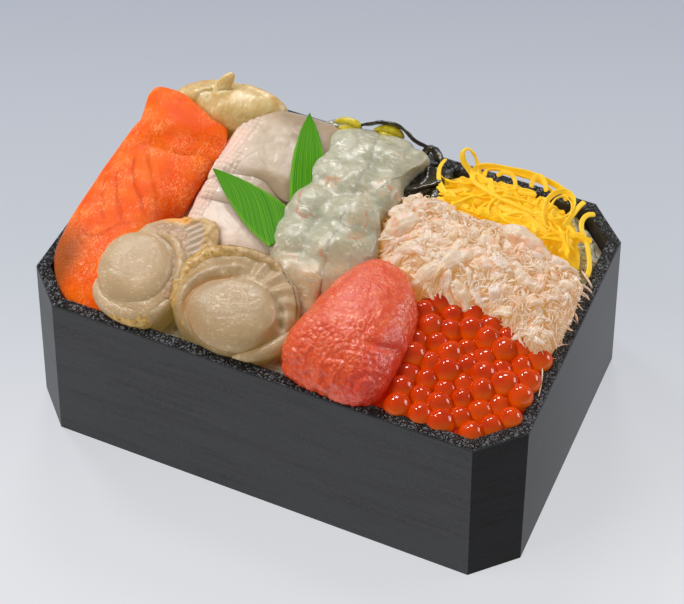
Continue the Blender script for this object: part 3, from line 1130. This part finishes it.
def build_salmon_roe():
    """Salmon roe: clear orange balls with a darker spot in each, over a glowing bed."""
    outline = [(72, -18, 54), (65, -13, 55), (54, -7, 56), (40, -7, 56), (35, -14, 55), (35, -30, 54),
               (33, -46, 52.5), (44, -46.5, 52.5), (62.5, -46, 52.5), (72.5, -34, 53)]
    core = pillow(outline, 54.6, slope=(0.0, 0.08), spokes=200, rings=60, power=4.0, bend=0.4)
    core.points[:, 2] += 0.5 * rough(core.points, 3.0, 2, 2)
    draw = random.Random(7)
    settling_rounds = 260

    def packed(number, seed, spread):
        """Places of balls pushed apart within the space between the walls, the sac and the crab."""
        state = np.random.RandomState(seed)
        xy = np.column_stack([state.uniform(38, 71, number), state.uniform(-45, -8, number)])
        for _ in range(settling_rounds):
            gap = xy[:, None, :] - xy[None, :, :]
            d = np.maximum(np.hypot(gap[..., 0], gap[..., 1]), 1e-6)
            push = np.clip(spread - d, 0.0, None) / d
            np.fill_diagonal(push, 0.0)
            xy = xy + 0.22 * (gap * push[..., None]).sum(1)
            xy[:, 0] = np.clip(xy[:, 0], 35.0, 71.0)
            xy[:, 1] = np.clip(xy[:, 1], -44.8, -6.5)
            over = np.maximum(0.0, xy[:, 0] - xy[:, 1] - (INNER_CORNER - 4.2)) / 2.0
            xy[:, 0] -= over
            xy[:, 1] += over
            over = np.maximum(0.0, xy[:, 1] - (-7.5 - 0.33 * (xy[:, 0] - 50.0)))
            xy[:, 1] -= over
            over = np.maximum(0.0, 38.2 + 0.12 * (-xy[:, 1] - 30.0) - xy[:, 0]) * (xy[:, 1] < -12.0)
            xy[:, 0] += over
        return xy

    balls = []
    light = np.array([0.42, -0.62, -0.66])
    for number, seed, spread, drop in ((46, 4, 6.1, 0.0), (40, 9, 6.4, 3.0)):
        for x, y in packed(number, seed, spread):
            radius = draw.uniform(3.3, 4.3)
            z = 54.9 + 0.085 * (y + 45.0) + draw.uniform(-1.2, 1.0) - drop
            egg = ball((x, y, z), (radius, radius, radius * 0.94), draw.uniform(0, 3), sides=36, rows=22)
            away = (egg.points - (x, y, z)) / radius
            egg.points += 0.3 * rough(egg.points, 4.0, 1, 3)[:, None] * away
            lens = step_up(away @ (light / np.linalg.norm(light)), -0.25, 0.7)
            spot = np.array([draw.uniform(-0.5, 0.2), draw.uniform(-0.4, 0.3), 0.8])
            heart = step_up(away @ (spot / np.linalg.norm(spot)), 0.8, 0.97)
            tint = 0.25 + 0.5 * (x - 38.0) / 33.0 + draw.uniform(-0.25, 0.25)
            egg.paint(lens=lens, heart=0.6 * heart, tint=tint)
            balls.append(egg)
    shell = Paint("roe_shell", 0.05)
    shell.clouded(shell.painted("tint"), "#b42800", "#cc4000")
    shell.over("lens", "#e8640a")
    shell.over("heart", "#a42000", 0.8)
    shell.lit(shell.colour, 0.14)
    bed = Paint("roe_bed", 0.25)
    bed.clouded(bed.patches(4.0, 0.35, 0.7), "#b82c00", "#cc4400")
    bed.lit(bed.colour, 0.2)
    dress("roe_core", core, bed.material, "salmon_roe")
    dress("roe_balls", joined(*balls), shell.material, "salmon_roe")


def shred(points, width, thick, steps, sides=6, roll=0.0, ends=4.0):
    """One flat fibre or strip along a curve."""
    return tube(points, [0.5 * width] * 3, sides=sides, steps=steps, squash=thick / width,
                power=0.7, ends=ends, roll=roll)


def build_crab():
    """Picked crab meat: soft torn flakes over finer fibres, some pink, and pieces of leg."""
    outline = [(73.5, -10, 56.8), (74.5, 6, 57.5), (72, 15, 58), (66, 20, 58.5), (58, 23, 60),
               (42, 23, 62), (27, 25, 61), (18, 27, 59), (13, 20, 58), (12, 8, 58), (22, -2, 57),
               (34, -7, 57), (50, -6, 58), (62, -11, 57), (69, -15, 56.8)]
    core = pillow(outline, 65.2, spokes=320, rings=90)
    top = step_up(core.points[:, 2], 55.0, 60.0)
    core.points[:, 2] += (2.4 * rough(core.points, 7.0, 2, 3) + 0.8 * rough(core.points, 1.6, 2, 6)) * top
    core.paint(pink=0.35 * step_up(rough(core.points, 5.0, 2, 8), 0.1, 0.5), shade=0.3)
    surface = core.tree()
    chunk_count, flake_count, fibre_count = 120, 330, 2000
    draw = random.Random(11)

    def touch(x, y):
        return surface.ray_cast(Vector((x, y, 90.0)), Vector((0, 0, -1)))[0]

    def flow_at(x, y):
        return 2.2 * float(rough(np.array([[x, y, 0.0]]), 9.0, 1, 4)[0]) * math.pi

    def pinkness(x, y):
        place = float(rough(np.array([[x, y, 5.0]]), 6.0, 2, 8)[0])
        return 0.02 + 0.45 * max(0.0, place)

    def strand(x, y, half, turn, lift, tips, width, thick, steps, sides, roll, ends, curve=0.35):
        ahead = Vector((math.cos(turn), math.sin(turn), 0.0)) * half
        bend = Vector((-ahead.y, ahead.x, 0.0)) * draw.uniform(-curve, curve)
        hit = touch(x, y)
        if hit is None:
            return None
        points = []
        for share, rise in ((-1.0, tips[0]), (0.0, lift), (1.0, tips[1])):
            spot = hit + ahead * share + (bend if share == 0.0 else Vector((0, 0, 0)))
            near = touch(spot.x, spot.y)
            spot.z = (near.z if near else hit.z - 1.5) + rise
            points.append(spot)
        return shred(points, width, thick, steps, sides, roll, ends)

    chunks = []
    for index in range(chunk_count):
        x = draw.uniform(15, 72)
        y = draw.uniform(-12, 25)
        turn = flow_at(x, y) + draw.gauss(0.0, 0.5)
        wide = draw.uniform(2.4, 4.8)
        one = strand(x, y, draw.uniform(2.0, 4.6), turn, draw.uniform(0.2, 1.2),
                     (draw.uniform(-0.8, 0.2), draw.uniform(-0.6, 0.9)), wide, wide * draw.uniform(0.34, 0.6),
                     22, 30, draw.uniform(-0.5, 0.5), 5.0)
        if one is None:
            continue
        around = one.painted["around"] * TAU
        one.push(0.13 * np.cos(around * 9.0 + 3.0 * rough(one.points, 3.0, 1, index))
                 + 0.75 * rough(one.points, 1.9, 2, 7 + index))
        one.paint(pink=min(1.0, pinkness(x, y) * draw.uniform(0.0, 2.0)), shade=draw.uniform(0.1, 1.0))
        chunks.append(one)
    flakes = []
    for index in range(flake_count):
        x = draw.uniform(13, 74.5)
        y = draw.uniform(-14, 27)
        turn = flow_at(x, y) + draw.gauss(0.0, 0.6)
        one = strand(x, y, draw.uniform(1.6, 4.2), turn, draw.uniform(0.5, 1.9),
                     (draw.uniform(-0.3, 0.8), draw.uniform(-0.1, 1.6)), draw.uniform(0.8, 1.7),
                     draw.uniform(0.4, 0.8), 16, 12, draw.uniform(-0.6, 0.6), 4.0, 0.6)
        if one is None:
            continue
        one.push(0.30 * rough(one.points, 0.9, 1, 7 + index % 9))
        one.paint(pink=min(1.0, pinkness(x, y) * draw.uniform(0.2, 1.8)), shade=draw.uniform(0.2, 1.0))
        flakes.append(one)
    fibres = []
    for _ in range(fibre_count):
        x = draw.uniform(13, 75)
        y = draw.uniform(-15, 28)
        turn = flow_at(x, y) + draw.gauss(0.0, 0.8)
        width = draw.uniform(0.2, 0.5)
        free = draw.random() < 0.15
        one = strand(x, y, draw.uniform(1.0, 3.2), turn, draw.uniform(0.6, 2.0),
                     (draw.uniform(0.2, 1.4), draw.uniform(0.6, 2.6) if free else draw.uniform(0.2, 1.6)),
                     width, width * draw.uniform(0.6, 0.9), 8, 5, draw.uniform(-0.8, 0.8), 3.0, 0.7)
        if one is None:
            continue
        strong = draw.random() < pinkness(x, y) * 0.8
        one.paint(pink=draw.uniform(0.5, 0.95) if strong else 0.05, shade=draw.uniform(0.3, 1.0))
        fibres.append(one)
    for p0, p1, p2 in (((70.9, 21.9), (74.0, 19.0), (76.0, 17.5)), ((73.5, 14.0), (75.5, 13.0), (76.8, 12.6)),
                       ((72.5, 6.0), (75.0, 5.0), (76.5, 3.2)), ((72.0, 0.0), (74.6, -1.0), (76.4, -0.4)),
                       ((71.0, 17.0), (74.6, 16.0), (76.6, 15.6))):
        one = shred([(*p0, 57.8), (*p1, 57.9), (*p2, 56.8)], 0.7, 0.5, 8, 6)
        one.paint(pink=0.1, shade=0.9)
        fibres.append(one)
    thread = shred([(70.5, -14.0, 57.4), (73.2, -17.5, 57.2), (74.6, -22.0, 56.6), (75.6, -27.0, 56.4)],
                   0.4, 0.35, 16, 6)
    thread.paint(pink=0.0, shade=1.0)
    fibres.append(thread)
    legs = []
    for points, radii in (
            ([(28.0, -7.5), (33.0, -2.0), (37.5, 3.5), (43.5, 8.8)], [1.6, 3.0, 3.2, 1.8]),
            ([(45.0, 20.6), (50.5, 20.6), (58.0, 18.0), (64.0, 14.6)], [2.0, 3.0, 2.8, 1.4]),
            ([(39.0, -2.0), (44.0, -4.6), (49.0, -8.0)], [1.8, 2.8, 1.8]),
            ([(15.5, 7.0), (18.0, 12.0), (22.0, 16.5)], [2.2, 3.6, 2.4]),
            ([(25.0, 17.0), (31.0, 15.5), (38.0, 16.0)], [1.6, 2.6, 1.8]),
            ([(54.0, 8.0), (60.0, 5.0), (66.0, 5.5)], [1.4, 2.3, 1.5]),
            ([(19.0, 2.5), (24.0, 5.0), (29.0, 9.0)], [1.6, 2.6, 1.6])):
        path = []
        for x, y in points:
            hit = touch(x, y)
            path.append((x, y, (hit.z if hit else 58.0) + 0.5))
        leg = tube(path, radii, sides=40, steps=70, squash=0.7, ends=5.0)
        around = leg.painted["around"] * TAU
        leg.push(0.10 * np.sin(around * 14.0 + 3.0 * rough(leg.points, 3.0, 1, 4))
                 + 0.8 * rough(leg.points, 2.6, 2, 6))
        stain = step_up(rough(leg.points, 3.5, 2, 12), 0.15, 0.5)
        leg.paint(pink=0.6 * stain, shade=0.5)
        legs.append(leg)
    bleed = (1.0, 0.8, 0.5)
    paints = [flesh("crab_soft", 0.4, 0.7, 2.5, bleed), flesh("crab", 0.4, 0.0, 1.0, bleed)]
    for paint in paints:
        paint.clouded(paint.patches(3.0, 0.35, 0.7), "#b3a585", "#b8b7a8")
        paint.over("shade", "#bdc6ca", 0.8)
        paint.over("pink", "#c08575")
        paint.lit("#f8a84e", 0.3)
        paint.bumped((paint.noise(0.5, 3.0), 0.12))
        paint.wet(0.4, 0.16, (paint.noise(0.7, 3.0, warp=0.5), 0.14))
    soft, thin = (paint.material for paint in paints)
    dress("crab_core", core, soft, "crab_meat")
    dress("crab_chunks", joined(*chunks), soft, "crab_meat")
    dress("crab_flakes", joined(*flakes), thin, "crab_meat")
    dress("crab_shreds", joined(*fibres), thin, "crab_meat")
    dress("crab_legs", joined(*legs), soft, "crab_meat")


EGG_CURLS = [
    [(29.3, 42.5, 59), (27.3, 44.2, 60.5), (24.5, 45.0, 63), (23.6, 46.1, 65.5), (24.5, 47.3, 66.5),
     (26.0, 47.8, 65.5), (27.3, 48.1, 62.5), (28.8, 46.7, 60.5), (30.4, 43.7, 59.5)],
    [(29.1, 40.7, 59.5), (27.8, 44.4, 60.5), (29.1, 47.0, 61), (32.3, 48.4, 61.2), (37.8, 49.3, 61.2),
     (43.6, 50.3, 61), (48.3, 50.1, 60.6), (52.5, 49.9, 60), (55.8, 48.7, 59.5), (57.7, 45.9, 58.8)],
    [(31.7, 43.7, 60), (31.3, 46.6, 60.5), (34.6, 48.4, 60.6), (40.2, 48.7, 60.6), (45.8, 48.9, 60.4),
     (50.2, 48.3, 60), (53.9, 47.0, 59)],
    [(29.7, 43.3, 61.5), (28.7, 42.0, 62), (30.1, 39.0, 62.6), (33.7, 37.1, 62.8), (39.3, 35.4, 62.8),
     (44.4, 34.8, 62.6), (49.4, 34.6, 62), (53.8, 34.8, 61)],
    [(18.3, 46.1, 61), (17.9, 42.4, 60.8), (19.1, 38.1, 60.6), (21.3, 35.1, 60.4), (23.8, 33.1, 60.4),
     (26.9, 32.6, 60.5)],
    [(18.3, 40.7, 59), (22.2, 38.1, 60.4), (25.8, 37.5, 61.4), (30.3, 38.5, 62), (33.7, 40.4, 62)],
    [(56.9, 29.8, 61.5), (54.5, 33.4, 62.5), (53.4, 38.5, 63.2), (54.4, 42.9, 63.6), (57.2, 45.3, 63.4),
     (60.3, 43.6, 63), (61.4, 39.9, 62.6), (60.1, 36.2, 62.2), (58.0, 34.4, 62), (56.5, 35.2, 62.2),
     (56.7, 37.8, 62.6)],
    [(55.0, 36.8, 62.8), (55.5, 40.8, 63.6), (57.7, 42.7, 63.8), (60.7, 41.0, 63.4), (61.8, 37.1, 62.6),
     (61.0, 32.8, 61.6)],
    [(61.0, 34.2, 61.2), (62.0, 37.8, 62), (62.7, 41.3, 62.6), (63.7, 44.1, 62.8)],
    [(67.9, 42.5, 60.6), (66.0, 40.7, 61.2), (65.3, 37.7, 61.2), (66.4, 34.5, 60.6), (69.0, 31.5, 59.6),
     (71.1, 27.7, 58.8), (72.8, 23.6, 58), (73.2, 20.2, 57.2)],
    [(61.6, 28.2, 59.2), (63.1, 30.6, 60), (66.0, 32.4, 60.4), (68.2, 31.9, 60), (70.3, 32.8, 59.4)],
    [(46.7, 44.3, 61.6), (46.3, 47.4, 62.2), (47.4, 49.3, 62.4), (49.7, 47.6, 62.2), (51.5, 44.5, 61.6)],
    [(35.4, 44.4, 62), (37.2, 46.3, 62.4), (39.8, 46.1, 62.4), (41.7, 43.8, 62.2), (42.5, 40.7, 62)],
]


def build_egg():
    """Thin omelette strips, curled and heaped in the far right corner."""
    outline = [(69, 22, 56.6), (67, 31, 56.6), (59, 40, 57), (48, 44.5, 57.5), (34, 45, 58),
               (24, 43, 58), (19.5, 37, 57.5), (22, 29, 58), (34, 27, 60), (46, 25, 61), (58, 24, 60)]
    core = pillow(outline, 58.6, spokes=200, rings=60)
    core.points[:, 2] += 1.2 * rough(core.points, 6.0, 2, 9) * step_up(core.points[:, 2], 55.0, 58.0)
    core.paint(shade=0.3)
    surface = core.tree()
    strip_count = 230
    draw = random.Random(5)
    strips = []

    def strip(points, steps):
        wide = draw.uniform(1.4, 2.1)
        one = tube(points, [0.5 * wide] * 3, sides=10, steps=steps, squash=draw.uniform(0.3, 0.44),
                   power=0.45, ends=30.0, roll=draw.uniform(-1.1, 1.1))
        one.push(0.08 * rough(one.points, 1.2, 2, 3))
        one.paint(shade=draw.random())
        return one

    for points in EGG_CURLS:
        strips.append(strip(points, 60))
    for _ in range(strip_count):
        x = draw.uniform(19, 70)
        y = draw.uniform(24, 46)
        turn = draw.gauss(-0.15, 0.55) + draw.choice((0.0, math.pi))
        swing = draw.choice((-1.0, 1.0)) * draw.uniform(0.0, 0.45)
        lift = draw.uniform(0.2, 3.4)
        points = []
        for _ in range(draw.choice((5, 6, 7, 8, 9, 10))):
            hit = surface.ray_cast(Vector((x, y, 90.0)), Vector((0, 0, -1)))[0]
            if hit is None or (x > 60.5 and y > 39.0):
                break
            points.append(hit + Vector((0.0, 0.0, 0.3 + lift * draw.uniform(0.8, 1.0))))
            x += 3.0 * math.cos(turn)
            y += 3.0 * math.sin(turn)
            turn += swing + draw.uniform(-0.3, 0.3)
        if len(points) >= 3:
            strips.append(strip(points, 4 * len(points)))
    paint = flesh("egg", 0.5, 0.2, 1.0, (1.0, 0.7, 0.1), 0.03, Specular_IOR_Level=0.3)
    paint.clouded(paint.patches(3.0, 0.35, 0.7), "#cf9902", "#d4ab0e")
    paint.over("shade", "#d8b22c")
    paint.lit(paint.colour, 0.46)
    paint.bumped((paint.noise(0.6, 3.0), 0.18))
    dress("egg_heap", joined(core, *strips), paint.material, "egg_strips")


def build_kelp():
    """Dark simmered kelp with a folded edge, silvery shreds and two small yellow slices."""
    outline = [(20, 24, 55), (23, 34, 55), (22, 44, 56), (16, 46.5, 57), (10, 46, 58), (8, 38, 57),
               (10, 28, 56)]
    core = pillow(outline, 58.5, spokes=240, rings=80)
    core.points[:, 2] += 1.1 * rough(core.points, 4.0, 3, 3)
    parts = [core]
    for points, width, thick, roll in (
            ([(-11.4, 48.3, 61.6), (-7.2, 48.6, 63.8), (-3.8, 49.2, 65.0), (0.1, 49.8, 64.8),
              (3.3, 49.8, 63.5), (6.7, 48.9, 61.8), (10, 49.0, 60.6), (14, 48.6, 59.6), (17.5, 45, 58)],
             2.4, 1.2, 0.8),
            ([(10.5, 46.5, 59.5), (12.2, 48.4, 61), (14.2, 48.0, 60.4), (16.4, 46.5, 58.6)], 3.4, 1.6, 0.4),
            ([(9.5, 30, 58), (14, 33, 59.2), (19, 38, 59.5), (20, 45, 58)], 5.0, 1.2, 0.5),
            ([(10, 24, 57), (14, 29, 58.6), (17, 36, 59), (15, 43, 59)], 4.0, 1.2, -0.5),
            ([(19, 26, 57), (20.5, 33, 58.8), (18, 40, 59.2)], 4.0, 1.0, 0.2)):
        one = shred(points, width, thick, 60, 14, roll, 10.0)
        one.push(0.25 * rough(one.points, 1.6, 2, 7))
        parts.append(one)
    whole = joined(*parts)
    whole.paint(silver=0.0)
    shreds = []
    for x, y, z, turn in ((-20.5, 46.8, 60.2, 0.3), (-18.6, 47.4, 61, -0.1), (-16.2, 46.9, 61, 0.2),
                          (-14.4, 47.2, 61.2, 0.0), (-19.0, 46.0, 60.4, 0.5)):
        dx = 2.6 * math.cos(turn)
        dy = 2.6 * math.sin(turn) * 0.4
        one = shred([(x - dx, y - dy, z - 0.5), (x, y, z + 0.5), (x + dx, y + dy, z)], 1.4, 0.7, 20, 10)
        one.paint(silver=1.0)
        shreds.append(one)
    paint = flesh("kelp", 0.18, 0.15, 1.0, coat=0.6)
    paint.clouded(paint.patches(3.5, 0.45, 0.7, detail=4.0), "#1d1509", "#3c3a16")
    paint.over(paint.patches(2.0, 0.62, 0.72), "#8a5a14")
    paint.over("silver", "#a7a493")
    paint.bumped((paint.noise(1.2, 3.0), 0.3))
    dress("kelp", joined(whole, *shreds), paint.material, "simmered_kelp")
    yellow = flesh("yellow_slice", 0.3, 0.3, 1.5, coat=0.3)
    yellow.clouded(yellow.patches(1.6, 0.35, 0.7), "#c0aa14", "#dccb3a")
    yellow.bumped((yellow.noise(0.8), 0.15))
    for name, node, points in (
            ("yellow_a", "yellow_piece_left", [(-20.2, 47.2, 60.6), (-16.3, 47.9, 62.1),
                                               (-12.6, 47.9, 62.1), (-10.4, 47.3, 61.0)]),
            ("yellow_b", "yellow_piece_right", [(-6.8, 48.0, 61.8), (-3.2, 48.6, 63.2),
                                                (0.6, 48.8, 63.2), (3.4, 48.6, 61.6)])):
        arc = tube(points, [0.7, 1.3, 1.3, 0.7], sides=20, steps=50, squash=0.9)
        low = tube([(x, y - 0.9, z - 2.6) for x, y, z in points], [1.0, 2.2, 2.2, 1.0], sides=20, steps=50,
                   squash=1.0)
        dress(name, joined(arc, low), yellow.material, node)


def build_stage():
    """A pale floor that darkens slowly away from the camera, soft lights and the camera."""
    size = 6.0
    mesh = bpy.data.meshes.new("floor")
    mesh.from_pydata([(-size, -size, 0), (size, -size, 0), (size, size, 0), (-size, size, 0)], [],
                     [[0, 1, 2, 3]])
    floor = bpy.data.objects.new("floor", mesh)
    bpy.context.scene.collection.objects.link(floor)
    paint = Paint("floor", 0.95)
    away = paint.axes(paint.stretched(1.0, 1.0, 1.0, -AZIMUTH))["Y"]
    shade = paint.blend(paint.ramp(away, -90.0, 110.0), "#dedfe3", "#b8bdc6")
    shade = paint.blend(paint.ramp(away, 80.0, 230.0), shade, "#a4a9b6")
    paint.set(Base_Color=paint.blend(0.76, shade, "#000000"))
    paint.lit(shade, 0.8)
    mesh.materials.append(paint.material)
    world = bpy.data.worlds.new("studio")
    bpy.context.scene.world = world
    world.use_nodes = True
    world.node_tree.nodes["Background"].inputs["Color"].default_value = tone("#eceae8")
    world.node_tree.nodes["Background"].inputs["Strength"].default_value = 0.23
    for name, place, power, width, height, shiny in (
            ("main", (-0.75, -0.60, 1.00), 9.6, 0.7, 0.5, False),
            ("key", (-0.50, 0.25, 0.75), 2.5, 0.16, 0.13, True),
            ("top", (-0.42, 0.95, 1.15), 7.5, 0.38, 0.30, True),
            ("back", (0.95, 0.75, 0.50), 5.6, 0.6, 0.45, True)):
        data = bpy.data.lights.new(name, "AREA")
        data.shape = "RECTANGLE"
        data.size = width
        data.size_y = height
        data.energy = power
        light = bpy.data.objects.new(name, data)
        light.location = place
        light.visible_glossy = shiny
        light.rotation_euler = (Vector((0, 0, 0.05)) - Vector(place)).to_track_quat("-Z", "Y").to_euler()
        bpy.context.scene.collection.objects.link(light)
    data = bpy.data.cameras.new("camera")
    data.lens = FOCAL
    data.sensor_width = 36.0
    camera = bpy.data.objects.new("camera", data)
    back = Vector((math.sin(AZIMUTH) * math.cos(ELEVATION), -math.cos(AZIMUTH) * math.cos(ELEVATION),
                   math.sin(ELEVATION)))
    camera.location = TARGET + back * DISTANCE
    camera.rotation_euler = back.to_track_quat("Z", "Y").to_euler()
    bpy.context.scene.collection.objects.link(camera)
    bpy.context.scene.camera = camera
    bpy.context.scene.view_settings.view_transform = "Standard"


build_stage()
paint_tray()
build_rice()
SALMON = build_salmon()
build_ginger()
SQUID = build_squid()
build_leaves(SQUID + SALMON[:1])
build_prawns()
build_scallops()
build_pollock_roe()
build_salmon_roe()
build_crab()
build_egg()
build_kelp()
